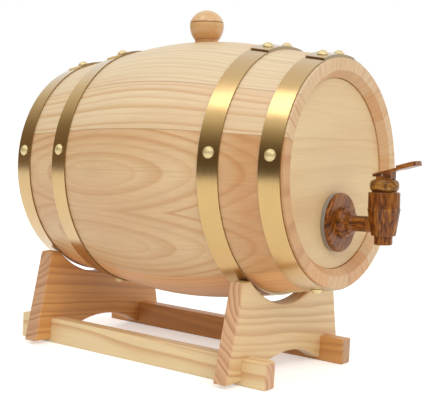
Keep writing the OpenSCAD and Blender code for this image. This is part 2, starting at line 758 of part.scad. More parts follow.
front_cradle();
rear_cradle();
left_rail();
right_rail();
bung_stave();
stave(1);  // stave_01
stave(2);  // stave_02
stave(3);  // stave_03
stave(4);  // stave_04
stave(5);  // stave_05
stave(6);  // stave_06
stave(7);  // stave_07
stave(8);  // stave_08
stave(9);  // stave_09
stave(10);  // stave_10
stave(11);  // stave_11
stave(12);  // stave_12
stave(13);  // stave_13
stave(14);  // stave_14
front_head();
rear_head();
front_end_hoop();
front_inner_hoop();
rear_inner_hoop();
rear_end_hoop();
hoop_nails();
bung();
tap_body();
flange_washer();
inner_washer();
shank_nut();
bonnet();
valve_stem();
seat_cup();
valve_spring();
lever();
lever_pin();
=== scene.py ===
import json
from math import atan2, radians

import bpy
from mathutils import Matrix, Vector


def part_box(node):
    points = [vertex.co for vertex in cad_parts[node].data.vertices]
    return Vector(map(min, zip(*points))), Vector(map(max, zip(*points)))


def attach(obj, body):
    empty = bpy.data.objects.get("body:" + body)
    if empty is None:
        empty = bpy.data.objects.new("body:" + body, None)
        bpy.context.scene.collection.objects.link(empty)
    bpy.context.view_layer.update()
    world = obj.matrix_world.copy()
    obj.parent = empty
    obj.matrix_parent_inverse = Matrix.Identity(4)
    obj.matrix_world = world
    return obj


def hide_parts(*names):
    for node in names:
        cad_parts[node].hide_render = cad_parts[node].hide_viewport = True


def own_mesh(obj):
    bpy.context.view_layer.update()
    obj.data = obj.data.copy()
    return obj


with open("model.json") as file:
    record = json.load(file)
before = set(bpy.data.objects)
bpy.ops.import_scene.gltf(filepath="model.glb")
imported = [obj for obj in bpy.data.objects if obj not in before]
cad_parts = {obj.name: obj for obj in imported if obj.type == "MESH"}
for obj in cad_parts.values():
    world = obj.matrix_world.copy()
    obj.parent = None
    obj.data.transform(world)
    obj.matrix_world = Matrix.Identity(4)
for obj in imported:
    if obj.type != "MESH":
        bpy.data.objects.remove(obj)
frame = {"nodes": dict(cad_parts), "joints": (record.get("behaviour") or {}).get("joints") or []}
nodes = frame["nodes"]
joints = {joint["name"]: joint for joint in frame["joints"]}
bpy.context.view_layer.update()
print("frame loaded:", len(nodes), "nodes")


def hexColour(code):
    # an sRGB hex value as the linear colour that the shader wants
    parts = [int(code[i:i + 2], 16) / 255 for i in (1, 3, 5)]
    return [p / 12.92 if p <= 0.04045 else ((p + 0.055) / 1.055) ** 2.4 for p in parts] + [1.0]


def addNode(tree, kind, inputs=(), **settings):
    # one node with its settings; an input is a value or another node's output
    node = tree.nodes.new(kind)
    for key, value in settings.items():
        setattr(node, key, value)
    for socket, value in dict(inputs).items():
        if isinstance(value, bpy.types.NodeSocket):
            tree.links.new(value, node.inputs[socket])
        else:
            node.inputs[socket].default_value = value
    return node


def newMaterial(name):
    material = bpy.data.materials.new(name)
    material.use_nodes = True
    material.node_tree.nodes.clear()
    return material, material.node_tree


def setRamp(node, stops):
    # colour stops as (place, hex) pairs
    ramp = node.color_ramp
    while len(ramp.elements) > 2:
        ramp.elements.remove(ramp.elements[-1])
    for element, (place, code) in zip(ramp.elements, stops[:2]):
        element.position, element.color = place, hexColour(code)
    for place, code in stops[2:]:
        ramp.elements.new(place).color = hexColour(code)


def wear(nodeName, material):
    mesh = nodes[nodeName].data
    mesh.materials.clear()
    mesh.materials.append(material)


def boxMiddle(*names):
    # the middle of the box round these nodes
    corners = [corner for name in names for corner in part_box(name)]
    return Vector([(min(places) + max(places)) / 2 for places in zip(*corners)])


# where the cask and the tap lie, worked out from the frame
tapUp = Vector(joints["stem_lift"]["axis"]).normalized()    # the stem stands square to the cask's length
cask = {
    "tilt": atan2(tapUp.y, tapUp.z),    # nose up
    "centre": boxMiddle("front_head", "rear_head"),
    "belly": 0.090,
    "stavePitch": (360 - 36) / 14,  # degrees of one plain stave: fourteen share what the bung stave leaves
    "firstSeam": 116.0,             # where stave_01 starts, seen from the tap end
    "bungPitch": 36.0,
    "bungMiddle": 98.0,
    "sideBoard": 196.9,             # middle of the board that staves 03 to 05 come from
}
pinOverShaft = 0.0317   # the lever's pin stands this far over the shaft's axis
tapCentre = Vector(joints["lever_tilt"]["pos_m"]) - tapUp * pinOverShaft    # shaft axis meets upright axis
caskLean = Matrix.Rotation(-cask["tilt"], 3, "X")
grainAxis = caskLean @ Vector((0, 1, 0))


def turnFor(angle):
    # turns a pattern so that +Z is the middle of the stave at that angle, and Y runs along the cask
    return (caskLean @ Matrix.Rotation(radians(90 - angle), 3, "Y")).to_euler("XYZ")


# what every board shares unless its own look says otherwise; lengths in metres
pine = {
    "round": False,             # True for a stave: its face is laid flat before the rings are cut
    "unroll": 0.088,            # radius on which a stave's face is laid flat
    "follow": 1.0,              # how far the grain follows the stave's bend
    "bend": 1.15,               # the bend's depth is this times the square of the way along
    "lobes": 0.0,               # half the distance between two rows of ovals
    "stretch": 0.22,            # patterns change this much slower along the grain
    "wanderScale": 30.0,
    "reach": 0.0,               # where the arches close
    "taper": 0.0,               # how fast the saw cut leaves the pith
    "growthScale": 110.0,
    "growthShift": 1.6,         # in years
    "lateFrom": 0.25,           # share of a year where the late wood starts
    "lateFull": 0.86,           # and where it is darkest
    "heart": None,              # ring radii between which the late wood comes in
    "heartLeft": 0.12,          # share of it that is left inside the smaller one
    "driftScale": 17.0,
    "drift": (0.46, 0.72),
    "flush": 0.5,
    "flushTone": "#D29A66",
    "shadedFrontEnd": None,            # start, end and amount along the board
    "fibre": 0.06,
    "fibreScale": 850.0,
    "fibreStretch": 0.035,
    "endAmount": 0.55,
    # painted shade inside the rim's bevel: its tone and how much of it
    "bevelShadeTone": None,
    "bevelShadeAmount": 0.5,
    "pitch": 0.0,               # angle of one stave, for its joints
    "jointWide": 0.008,         # from these angles to the joint the line shows
    "jointNarrow": 0.002,
    "jointTone": "#A06A3A",
}


def pineFinish(name, look):
    # Planed pine under clear satin varnish. Growth rings are cut as solid rings round a pith line, so a
    # flat-sawn face shows arches, a quarter-sawn one straight lines, and an end the rings themselves.
    look = dict(pine, **look)
    material, tree = newMaterial(name)
    place = addNode(tree, "ShaderNodeTexCoord")
    local = addNode(tree, "ShaderNodeMapping", {"Vector": place.outputs["Object"],
        "Location": look["centre"], "Rotation": look["turn"]}, vector_type="TEXTURE").outputs[0]
    split = addNode(tree, "ShaderNodeSeparateXYZ", {0: local})
    across, along, depth = split.outputs
    if look["round"]:
        angle = addNode(tree, "ShaderNodeMath", {0: across, 1: depth}, operation="ARCTAN2").outputs[0]
        flat = addNode(tree, "ShaderNodeCombineXYZ", {"X": across, "Z": depth}).outputs[0]
        radius = addNode(tree, "ShaderNodeVectorMath", {0: flat}, operation="LENGTH").outputs["Value"]
        across = addNode(tree, "ShaderNodeMath", {0: angle, 1: look["unroll"]},
            operation="MULTIPLY").outputs[0]
        if look["lobes"]:
            # one board sawn down the middle of the tree shows a row of long ovals on either side
            across = addNode(tree, "ShaderNodeMath", {0: across}, operation="ABSOLUTE").outputs[0]
            across = addNode(tree, "ShaderNodeMath", {0: across, 1: look["lobes"]},
                operation="SUBTRACT").outputs[0]
        bent = addNode(tree, "ShaderNodeMath", {0: along, 1: along}, operation="MULTIPLY").outputs[0]
        depth = addNode(tree, "ShaderNodeMath", {0: bent, 1: look["follow"] * look["bend"],
            2: radius}, operation="MULTIPLY_ADD").outputs[0]
        depth = addNode(tree, "ShaderNodeMath", {0: depth, 1: cask["belly"]},
            operation="SUBTRACT").outputs[0]
    plank = addNode(tree, "ShaderNodeCombineXYZ", {0: across, 1: along, 2: depth}).outputs[0]
    shifted = addNode(tree, "ShaderNodeVectorMath", {0: plank,
        1: (look["seed"] * 0.37, look["seed"] * 0.61, look["seed"] * 0.23)}, operation="ADD").outputs[0]

    # the rings wander by a few millimetres over some 30 mm across and 140 mm along
    longWay = addNode(tree, "ShaderNodeMapping", {"Vector": shifted, "Scale": (1, look["stretch"], 1)},
        vector_type="POINT").outputs[0]
    wander = addNode(tree, "ShaderNodeTexNoise", {"Vector": longWay, "Scale": look["wanderScale"],
        "Detail": 1.5, "Roughness": 0.45})
    wanderOff = addNode(tree, "ShaderNodeVectorMath", {0: wander.outputs["Color"], 1: (0.5, 0.5, 0.5)},
        operation="SUBTRACT").outputs[0]
    wandered = addNode(tree, "ShaderNodeVectorMath", {0: wanderOff,
        1: (look["wander"], 0, look["wander"]), 2: plank}, operation="MULTIPLY_ADD").outputs[0]
    # the pith line: how far aside and below it lies, and how fast the saw cut leaves it along the board
    pith = addNode(tree, "ShaderNodeMapping", {"Vector": wandered,
        "Location": (-look["pith"][0], -look["reach"] * look["taper"], -look["pith"][1]),
        "Scale": (1, look["taper"], 1)}, vector_type="POINT").outputs[0]
    ringRadius = addNode(tree, "ShaderNodeVectorMath", {0: pith}, operation="LENGTH").outputs["Value"]
    # some years grow wide and some narrow
    growth = addNode(tree, "ShaderNodeTexNoise", {"W": ringRadius, "Scale": look["growthScale"],
        "Detail": 1.0}, noise_dimensions="1D").outputs["Fac"]
    years = addNode(tree, "ShaderNodeMath", {0: ringRadius, 1: look["spacing"]},
        operation="DIVIDE").outputs[0]
    phase = addNode(tree, "ShaderNodeMath", {0: growth, 1: look["growthShift"], 2: years},
        operation="MULTIPLY_ADD").outputs[0]
    rise = addNode(tree, "ShaderNodeMath", {0: phase}, operation="FRACT").outputs[0]
    count = addNode(tree, "ShaderNodeMath", {0: phase}, operation="FLOOR").outputs[0]
    # each year's late wood has its own strength
    year = addNode(tree, "ShaderNodeTexWhiteNoise", {"W": count}, noise_dimensions="1D").outputs["Value"]
    late = addNode(tree, "ShaderNodeValToRGB", {"Fac": rise})
    ramp = late.color_ramp
    ramp.interpolation = "EASE"
    ramp.elements[0].position, ramp.elements[0].color = look["lateFrom"], (0, 0, 0, 1)
    ramp.elements[1].position, ramp.elements[1].color = look["lateFull"], (1, 1, 1, 1)
    ramp.elements.new(1.0).color = (0, 0, 0, 1)
    strength = addNode(tree, "ShaderNodeMapRange", {"Value": year, "To Min": look["contrast"][0],
        "To Max": look["contrast"][1]}).outputs[0]
    lateAmount = addNode(tree, "ShaderNodeMath", {0: late.outputs["Color"], 1: strength},
        operation="MULTIPLY").outputs[0]
    if look["heart"]:
        # where the saw only skims a ring the wood is nearly plain
        plain = addNode(tree, "ShaderNodeMapRange", {"Value": ringRadius, "From Min": look["heart"][0],
            "From Max": look["heart"][1], "To Min": look["heartLeft"]}).outputs[0]
        lateAmount = addNode(tree, "ShaderNodeMath", {0: lateAmount, 1: plain},
            operation="MULTIPLY").outputs[0]
    wood = addNode(tree, "ShaderNodeMix", {"Factor": lateAmount, "A": hexColour(look["early"]),
        "B": hexColour(look["late"])}, data_type="RGBA").outputs["Result"]

    # broad pinkish drifts, some 50 mm wide and 200 mm long
    drift = addNode(tree, "ShaderNodeTexNoise", {"Vector": longWay, "Scale": look["driftScale"],
        "Detail": 2.0})
    drifted = addNode(tree, "ShaderNodeMapRange", {"Value": drift.outputs["Fac"],
        "From Min": look["drift"][0], "From Max": look["drift"][1], "To Max": look["flush"]}).outputs[0]
    wood = addNode(tree, "ShaderNodeMix", {"Factor": drifted, "A": wood,
        "B": hexColour(look["flushTone"])}, data_type="RGBA").outputs["Result"]

    if look["shadedFrontEnd"]:
        # the front end of the board, between the hoops at the tap end, is painted a deeper orange: painted
        # shade and light bounced off the hoops
        start, end, amount = look["shadedFrontEnd"]
        warm = addNode(tree, "ShaderNodeMapRange", {"Value": along, "From Min": start, "From Max": end,
            "To Max": amount}).outputs[0]
        wood = addNode(tree, "ShaderNodeMix", {"Factor": warm, "A": wood,
            "B": hexColour(look["shadedFrontTone"])}, data_type="RGBA").outputs["Result"]

    # fibres: real ones are 0.04 mm wide, drawn 0.6 mm wide and 17 mm long so that they show
    fibrePlace = addNode(tree, "ShaderNodeMapping", {"Vector": shifted,
        "Scale": (1, look["fibreStretch"], 1)}, vector_type="POINT").outputs[0]
    fibre = addNode(tree, "ShaderNodeTexNoise", {"Vector": fibrePlace, "Scale": look["fibreScale"],
        "Detail": 3.0, "Roughness": 0.65})
    fibreTone = addNode(tree, "ShaderNodeMapRange", {"Value": fibre.outputs["Fac"], "From Min": 0.3,
        "From Max": 0.7, "To Min": 1.0 - look["fibre"],
        "To Max": 1.0 + look["fibre"] * 0.6}).outputs[0]
    wood = addNode(tree, "ShaderNodeVectorMath", {0: wood, 1: fibreTone}, operation="MULTIPLY").outputs[0]

    # end grain drinks more varnish and looks darker and pinker
    cut = addNode(tree, "ShaderNodeVectorMath", {0: place.outputs["Normal"], 1: look["grain"]},
        operation="DOT_PRODUCT").outputs["Value"]
    cut = addNode(tree, "ShaderNodeMath", {0: cut}, operation="ABSOLUTE").outputs[0]
    cutAmount = addNode(tree, "ShaderNodeMapRange", {"Value": cut, "From Min": 0.55, "From Max": 0.85,
        "To Max": look["endAmount"]}).outputs[0]
    endTone = addNode(tree, "ShaderNodeMix", {"Factor": lateAmount, "A": hexColour(look["endPale"]),
        "B": hexColour(look["endDark"])}, data_type="RGBA").outputs["Result"]
    wood = addNode(tree, "ShaderNodeMix", {"Factor": cutAmount, "A": wood, "B": endTone},
        data_type="RGBA").outputs["Result"]

    if look["bevelShadeTone"]:
        # faces that look inward, such as the bevel inside the rim, are painted a deeper orange: painted
        # shade and bounced light in the hollow rim
        outward = addNode(tree, "ShaderNodeVectorMath", {0: place.outputs["Object"], 1: look["centre"]},
            operation="SUBTRACT").outputs[0]
        level = addNode(tree, "ShaderNodeVectorMath", {0: outward, 1: look["grain"]},
            operation="DOT_PRODUCT").outputs["Value"]
        level = addNode(tree, "ShaderNodeVectorMath", {0: look["grain"], "Scale": level},
            operation="SCALE").outputs[0]
        outward = addNode(tree, "ShaderNodeVectorMath", {0: outward, 1: level},
            operation="SUBTRACT").outputs[0]
        outward = addNode(tree, "ShaderNodeVectorMath", {0: outward}, operation="NORMALIZE").outputs[0]
        facing = addNode(tree, "ShaderNodeVectorMath", {0: place.outputs["Normal"], 1: outward},
            operation="DOT_PRODUCT").outputs["Value"]
        inside = addNode(tree, "ShaderNodeMapRange", {"Value": facing, "From Min": -0.25,
            "From Max": -0.5, "To Max": look["bevelShadeAmount"]}).outputs[0]
        wood = addNode(tree, "ShaderNodeMix", {"Factor": inside, "A": wood,
            "B": hexColour(look["bevelShadeTone"])}, data_type="RGBA").outputs["Result"]

    if look["pitch"]:
        # the joint to the next stave: a dark line 0.4 mm wide with soft edges
        turns = addNode(tree, "ShaderNodeMath", {0: angle, 1: 1 / look["pitch"], 2: 0.5},
            operation="MULTIPLY_ADD").outputs[0]
        away = addNode(tree, "ShaderNodeMath", {0: turns}, operation="FRACT").outputs[0]
        away = addNode(tree, "ShaderNodeMath", {0: away, 1: 0.5}, operation="SUBTRACT").outputs[0]
        away = addNode(tree, "ShaderNodeMath", {0: away}, operation="ABSOLUTE").outputs[0]
        line = addNode(tree, "ShaderNodeMapRange", {"Value": away,
            "From Min": 0.5 - look["jointWide"] / look["pitch"],
            "From Max": 0.5 - look["jointNarrow"] / look["pitch"], "To Max": look["joint"]}).outputs[0]
        wood = addNode(tree, "ShaderNodeMix", {"Factor": line, "A": wood,
            "B": hexColour(look["jointTone"])}, data_type="RGBA").outputs["Result"]

    bump = addNode(tree, "ShaderNodeBump", {"Height": fibre.outputs["Fac"], "Strength": 0.12,
        "Distance": 0.0004}).outputs[0]
    roughness = addNode(tree, "ShaderNodeMapRange", {"Value": lateAmount, "To Min": 0.50,
        "To Max": 0.40}).outputs[0]
    shader = addNode(tree, "ShaderNodeBsdfPrincipled", {"Base Color": wood, "Roughness": roughness,
        "IOR": 1.5, "Normal": bump, "Coat Weight": 0.25, "Coat Roughness": 0.28, "Coat IOR": 1.5})
    addNode(tree, "ShaderNodeOutputMaterial", {"Surface": shader.outputs[0]})
    return material


pineTones = {
    "pale": {"early": "#E8D0A8", "late": "#D6AF7C"},
    "warm": {"early": "#E2C093", "late": "#CC9862"},
    "fair": {"early": "#E9CEA4", "late": "#D2A26C"},
    "side": {"early": "#E6C494", "late": "#CD9660"},
    "low": {"early": "#EBB072", "late": "#CE8646"},
}

staveLooks = {
    # name: tone, pith across and below in mm, ring spacing in mm, how far the grain follows the bend,
    # taper along the board and where its arches close in mm
    "bung_stave": ("pale", (70, -34), 5.2, 1.0, 0.0, 0),
    "stave_01": ("pale", (60, -24), 4.6, 1.0, 0.0, 0),
    "stave_02": ("fair", (85, -28), 5.4, 1.0, 0.0, 0),
    "stave_03": ("side", (0, -5), 5.6, 1.0, 0.31, 22),
    "stave_04": ("side", (0, -5), 5.6, 1.0, 0.31, 22),
    "stave_05": ("side", (0, -5), 5.6, 1.0, 0.31, 22),
    "stave_06": ("low", (-70, -25), 4.6, 0.9, 0.0, 0),
    "stave_07": ("warm", (60, -40), 4.4, 0.8, 0.0, 0),
    "stave_08": ("low", (-50, -30), 4.8, 0.7, 0.0, 0),
    "stave_09": ("pale", (66, -22), 4.4, 1.0, 0.0, 0),
    "stave_10": ("warm", (-4, -8), 5.4, 1.0, 0.24, 90),
    "stave_11": ("side", (30, -20), 5.0, 1.0, 0.1, -60),
    "stave_12": ("pale", (-64, -30), 4.6, 1.0, 0.0, 0),
    "stave_13": ("warm", (5, -10), 5.6, 1.0, 0.22, -120),
    "stave_14": ("pale", (70, -26), 4.9, 1.0, 0.0, 0),
}
for number, (staveName, values) in enumerate(staveLooks.items()):
    tone, pithPlace, spacing, follow, taper, reach = values
    pitch = cask["stavePitch"] if number else cask["bungPitch"]
    middle = cask["firstSeam"] + (number - 0.5) * pitch if number else cask["bungMiddle"]
    look = dict(pineTones[tone])
    look.update({"centre": cask["centre"], "turn": turnFor(middle), "grain": grainAxis,
        "round": True, "follow": follow, "seed": number * 0.7 + 0.3, "taper": taper,
        "reach": reach / 1000, "pith": (pithPlace[0] / 1000, pithPlace[1] / 1000),
        "spacing": spacing / 1000, "wander": 0.012, "contrast": (0.1, 0.62), "pitch": radians(pitch),
        # the bevel's deeper orange is painted shade of the hollow rim
        "joint": 0.3, "endPale": "#D3A774", "endDark": "#B2774A", "bevelShadeTone": "#D0904F", "flush": 0.45})
    if staveName == "stave_02":
        # its joints show as brown lines along the side
        look.update({"joint": 0.7, "contrast": (0.2, 0.85)})
    if staveName in ("stave_03", "stave_04", "stave_05"):
        # these three come from one board, so its pattern runs on over their joints
        look.update({"turn": turnFor(cask["sideBoard"]), "seed": 2.4, "lobes": 0.0235,
            "contrast": (0.3, 0.9), "heart": (0.008, 0.021), "wander": 0.021, "wanderScale": 15.0,
            "flush": 0.5, "fibre": 0.085, "flushTone": "#CF9360", "joint": 0.12,
            # painted shade: the front end is painted a deeper orange where the hoops shade it and throw
            # light back
            "pitch": radians(1.5 * cask["stavePitch"]), "shadedFrontEnd": (-0.045, -0.085, 0.72),
            "shadedFrontTone": "#C98A50"})
    wear(staveName, pineFinish("planedPineStave_%02d" % number, look))
print("staves dressed")

headLook = {"centre": cask["centre"], "turn": Matrix.Rotation(radians(90), 3, "Z").to_euler("XYZ"),
    "grain": Vector((1, 0, 0)), "seed": 4.1, "pith": (0.03, -0.05), "spacing": 0.0042,
    "wander": 0.012, "contrast": (0.05, 0.5), "endPale": "#DDB488", "endDark": "#B67C52",
    "flush": 0.3, "early": "#E5C896", "late": "#D2A873"}
wear("front_head", pineFinish("planedPineHead", headLook))
wear("rear_head", pineFinish("planedPineHeadRear", dict(headLook, seed=6.3, pith=(0.05, -0.03))))

standLooks = {
    # level: height of the pattern's middle, which lies over or under the middle of the board
    "front_cradle": {"level": 0.03, "turn": (radians(8), 0, radians(90)),
        "pith": (-0.035, 0.03), "seed": 3.3, "endPale": "#E3B084"},
    # the rear board is painted a deeper orange: painted shade, as it stands in the cask's shadow with
    # light bounced onto it
    "rear_cradle": {"level": 0.03, "turn": (radians(8), 0, radians(90)),
        "pith": (0.02, 0.045), "seed": 5.9, "early": "#E6AC68", "late": "#BE783A", "endPale": "#CFA07A"},
    "left_rail": {"level": 0.009, "turn": (0, 0, 0),
        "pith": (-0.03, -0.012), "seed": 3.4, "early": "#F2D8A6", "late": "#D6A066"},
    # the far rail and its end are painted a deeper orange and darker: painted shade, as it lies in the
    # cask's shadow
    "right_rail": {"level": 0.009, "turn": (0, 0, 0),
        "pith": (0.025, -0.02), "seed": 7.7, "early": "#DFA460", "late": "#BC7838", "endPale": "#BE9468"},
}
for standName, values in standLooks.items():
    middle = boxMiddle(standName)
    look = {"centre": (middle.x, middle.y, values["level"]),
        "grain": Vector((0, 1, 0)) if "rail" in standName else Vector((1, 0, 0)),
        "spacing": 0.0046, "wander": 0.014, "contrast": (0.2, 0.75), "early": "#EDCF9A",
        "late": "#C98F54", "endPale": "#D9A67A", "endDark": "#A0653F", "flush": 0.35, "endAmount": 0.9}
    look.update(values)
    wear(standName, pineFinish("planedPine_" + standName, look))
print("heads and stand dressed")


def brassFinish(name, look):
    # Brass-plated strip with a fine brushed finish: broad soft highlights that run out round the hoop
    material, tree = newMaterial(name)
    place = addNode(tree, "ShaderNodeTexCoord")
    local = addNode(tree, "ShaderNodeMapping", {"Vector": place.outputs["Object"],
        "Location": cask["centre"], "Rotation": turnFor(90)}, vector_type="TEXTURE").outputs[0]
    brushPlace = addNode(tree, "ShaderNodeMapping", {"Vector": local, "Scale": (0.04, 1, 0.04)},
        vector_type="POINT").outputs[0]
    # brush lines are some 0.05 mm apart, drawn 1 mm apart so that they show
    brush = addNode(tree, "ShaderNodeTexNoise", {"Vector": brushPlace, "Scale": 1600.0, "Detail": 2.0})
    patch = addNode(tree, "ShaderNodeTexNoise", {"Vector": local, "Scale": 60.0, "Detail": 3.0})
    tone = addNode(tree, "ShaderNodeMix", {"Factor": patch.outputs["Fac"],
        "A": hexColour(look["colour"]), "B": hexColour(look["deep"])}, data_type="RGBA").outputs["Result"]
    roughness = addNode(tree, "ShaderNodeMapRange", {"Value": brush.outputs["Fac"], "From Min": 0.3,
        "From Max": 0.7, "To Min": look["rough"] - 0.03, "To Max": look["rough"] + 0.04}).outputs[0]
    bump = addNode(tree, "ShaderNodeBump", {"Height": brush.outputs["Fac"], "Strength": look["brush"],
        "Distance": 0.0002}).outputs[0]
    if look.get("edge"):
        # the strip's edge is painted darker: painted shade of the thin gap between the hoop and the staves
        side = addNode(tree, "ShaderNodeVectorMath", {0: place.outputs["Normal"], 1: grainAxis},
            operation="DOT_PRODUCT").outputs["Value"]
        side = addNode(tree, "ShaderNodeMath", {0: side}, operation="ABSOLUTE").outputs[0]
        edgeShadeAmount = addNode(tree, "ShaderNodeMapRange", {"Value": side, "From Min": 0.6,
            "From Max": 0.8}).outputs[0]
        tone = addNode(tree, "ShaderNodeMix", {"Factor": edgeShadeAmount, "A": tone,
            "B": hexColour(look["edge"])}, data_type="RGBA").outputs["Result"]
    shader = addNode(tree, "ShaderNodeBsdfPrincipled", {"Base Color": tone, "Metallic": 1.0,
        "Roughness": roughness, "Normal": bump, "Coat Weight": look["lacquer"],
        "Coat Roughness": look["shine"], "Coat IOR": 1.75})
    addNode(tree, "ShaderNodeOutputMaterial", {"Surface": shader.outputs[0]})
    return material


# the hoops' darker edge tone is painted shade of the gap along their edges
hoopBrass = brassFinish("brushedBrassHoop", {"colour": "#C6A15C", "deep": "#BC9652", "rough": 0.21,
    "brush": 0.05, "lacquer": 1.0, "shine": 0.24, "edge": "#9A8052"})
nailBrass = brassFinish("polishedBrassNail", {"colour": "#E2CF9A", "deep": "#DAC48A", "rough": 0.55,
    "brush": 0.02, "lacquer": 0.9, "shine": 0.50})
for hoopName in ("front_end_hoop", "front_inner_hoop", "rear_inner_hoop", "rear_end_hoop"):
    wear(hoopName, hoopBrass)
wear("hoop_nails", nailBrass)
print("brass dressed")


def beechFinish(name, look):
    # Turned beech under clear lacquer: close grain with short dark rays across the knob, and a line
    # that a wire has burnt into the scored groove
    material, tree = newMaterial(name)
    place = addNode(tree, "ShaderNodeTexCoord")
    local = addNode(tree, "ShaderNodeMapping", {"Vector": place.outputs["Object"],
        "Location": cask["centre"], "Rotation": turnFor(90)}, vector_type="TEXTURE").outputs[0]
    rayPlace = addNode(tree, "ShaderNodeMapping", {"Vector": local,
        "Rotation": (0, radians(8), radians(35)), "Scale": (6, 1, 1)}, vector_type="TEXTURE").outputs[0]
    # rays are some 0.3 mm wide, drawn 0.9 mm wide so that they show
    rays = addNode(tree, "ShaderNodeTexNoise", {"Vector": rayPlace, "Scale": 900.0, "Detail": 2.0})
    soft = addNode(tree, "ShaderNodeTexNoise", {"Vector": rayPlace, "Scale": 90.0, "Detail": 2.0})
    tone = addNode(tree, "ShaderNodeMix", {"Factor": soft.outputs["Fac"],
        "A": hexColour(look["pale"]), "B": hexColour(look["deep"])}, data_type="RGBA").outputs["Result"]
    rayAmount = addNode(tree, "ShaderNodeMapRange", {"Value": rays.outputs["Fac"], "From Min": 0.52,
        "From Max": 0.75, "To Max": 0.5}).outputs[0]
    tone = addNode(tree, "ShaderNodeMix", {"Factor": rayAmount, "A": tone, "B": hexColour(look["ray"])},
        data_type="RGBA").outputs["Result"]
    height = addNode(tree, "ShaderNodeSeparateXYZ", {0: local}).outputs[2]
    # painted shade: the narrow foot under the knob is painted a deeper orange, as the light falls from
    # above
    low = addNode(tree, "ShaderNodeMapRange", {"Value": height, "From Min": look["groove"],
        "From Max": look["groove"] - 0.01, "To Max": 0.5}).outputs[0]
    tone = addNode(tree, "ShaderNodeMix", {"Factor": low, "A": tone, "B": hexColour(look["foot"])},
        data_type="RGBA").outputs["Result"]
    fromGroove = addNode(tree, "ShaderNodeMath", {0: height, 1: look["groove"]},
        operation="SUBTRACT").outputs[0]
    fromGroove = addNode(tree, "ShaderNodeMath", {0: fromGroove}, operation="ABSOLUTE").outputs[0]
    burnt = addNode(tree, "ShaderNodeMapRange", {"Value": fromGroove, "From Min": 0.0002,
        "From Max": 0.0006, "To Min": 0.85, "To Max": 0.0}).outputs[0]
    tone = addNode(tree, "ShaderNodeMix", {"Factor": burnt, "A": tone, "B": hexColour(look["burn"])},
        data_type="RGBA").outputs["Result"]
    bump = addNode(tree, "ShaderNodeBump", {"Height": rays.outputs["Fac"], "Strength": 0.08,
        "Distance": 0.0003}).outputs[0]
    shader = addNode(tree, "ShaderNodeBsdfPrincipled", {"Base Color": tone, "Roughness": 0.38, "IOR": 1.5,
        "Normal": bump, "Coat Weight": 0.5, "Coat Roughness": 0.15, "Coat IOR": 1.5})
    addNode(tree, "ShaderNodeOutputMaterial", {"Surface": shader.outputs[0]})
    return material


# the groove's height is measured from the cask's middle
wear("bung", beechFinish("turnedBeech", {"pale": "#E8C28C", "deep": "#D29C5C", "ray": "#B47A44",
    # the foot's deeper orange is painted shade
    "foot": "#BA7630", "burn": "#8A5422", "groove": 0.1038}))


def filmFinish(name, look):
    # Moulded plastic with a wood-grain film printed on under lacquer: fine dark streaks run along the
    # upright, along the shaft and slantwise over the flange, and the lacquer throws a soft sheen
    material, tree = newMaterial(name)
    place = addNode(tree, "ShaderNodeTexCoord")
    local = addNode(tree, "ShaderNodeMapping", {"Vector": place.outputs["Object"],
        "Location": tapCentre, "Rotation": look["turn"]}, vector_type="TEXTURE").outputs[0]
    streakPlace = addNode(tree, "ShaderNodeMapping", {"Vector": local, "Scale": (1, 1, 0.06)},
        vector_type="POINT").outputs[0]
    if look.get("limbs"):
        reach = addNode(tree, "ShaderNodeSeparateXYZ", {0: local}).outputs[1]
        for start, turn in look["limbs"]:
            # from this far back toward the cask the film lies another way
            limbPlace = addNode(tree, "ShaderNodeMapping", {"Vector": local, "Rotation": turn,
                "Scale": (1, 1, 16)}, vector_type="TEXTURE").outputs[0]
            onLimb = addNode(tree, "ShaderNodeMath", {0: reach, 1: start},
                operation="GREATER_THAN").outputs[0]
            streakPlace = addNode(tree, "ShaderNodeMix", {"Factor": onLimb, "A": streakPlace,
                "B": limbPlace}, data_type="VECTOR").outputs["Result"]
    bend = addNode(tree, "ShaderNodeTexNoise", {"Vector": local, "Scale": 70.0, "Detail": 1.0})
    bendOff = addNode(tree, "ShaderNodeVectorMath", {0: bend.outputs["Color"], 1: (0.004, 0.004, 0.004),
        2: streakPlace}, operation="MULTIPLY_ADD").outputs[0]
    # the print's pores are some 0.2 mm wide, drawn 1 mm wide so that they show
    streaks = addNode(tree, "ShaderNodeTexNoise", {"Vector": bendOff, "Scale": 560.0, "Detail": 3.0,
        "Roughness": 0.6})
    tone = addNode(tree, "ShaderNodeValToRGB", {"Fac": streaks.outputs["Fac"]})
    setRamp(tone, [(0.34, look["dark"]), (0.66, look["light"]), (0.50, look["middle"])])
    shader = addNode(tree, "ShaderNodeBsdfPrincipled", {"Base Color": tone.outputs["Color"],
        "Roughness": 0.36, "IOR": 1.32, "Coat Weight": 0.18, "Coat Roughness": 0.16, "Coat IOR": 1.5})
    addNode(tree, "ShaderNodeOutputMaterial", {"Surface": shader.outputs[0]})
    return material


upTurn = turnFor(90)
alongTurn = (caskLean @ Matrix.Rotation(radians(90), 3, "X")).to_euler("XYZ")
walnutFilm = {"dark": "#42200A", "middle": "#824610", "light": "#A96A26"}
wear("tap_body", filmFinish("grainFilmPlasticTap", dict(walnutFilm, turn=upTurn,
    limbs=((0.0115, (radians(90), 0, 0)), (0.0263, (0, radians(40), 0))))))
wear("bonnet", filmFinish("grainFilmPlasticBonnet", dict(walnutFilm, turn=alongTurn,
    dark="#5A3610", middle="#8A581E", light="#AE7C30")))
wear("lever", filmFinish("grainFilmPlasticLever", dict(walnutFilm, turn=alongTurn, middle="#864A1E")))
wear("shank_nut", filmFinish("grainFilmPlasticNut", dict(walnutFilm, turn=alongTurn)))


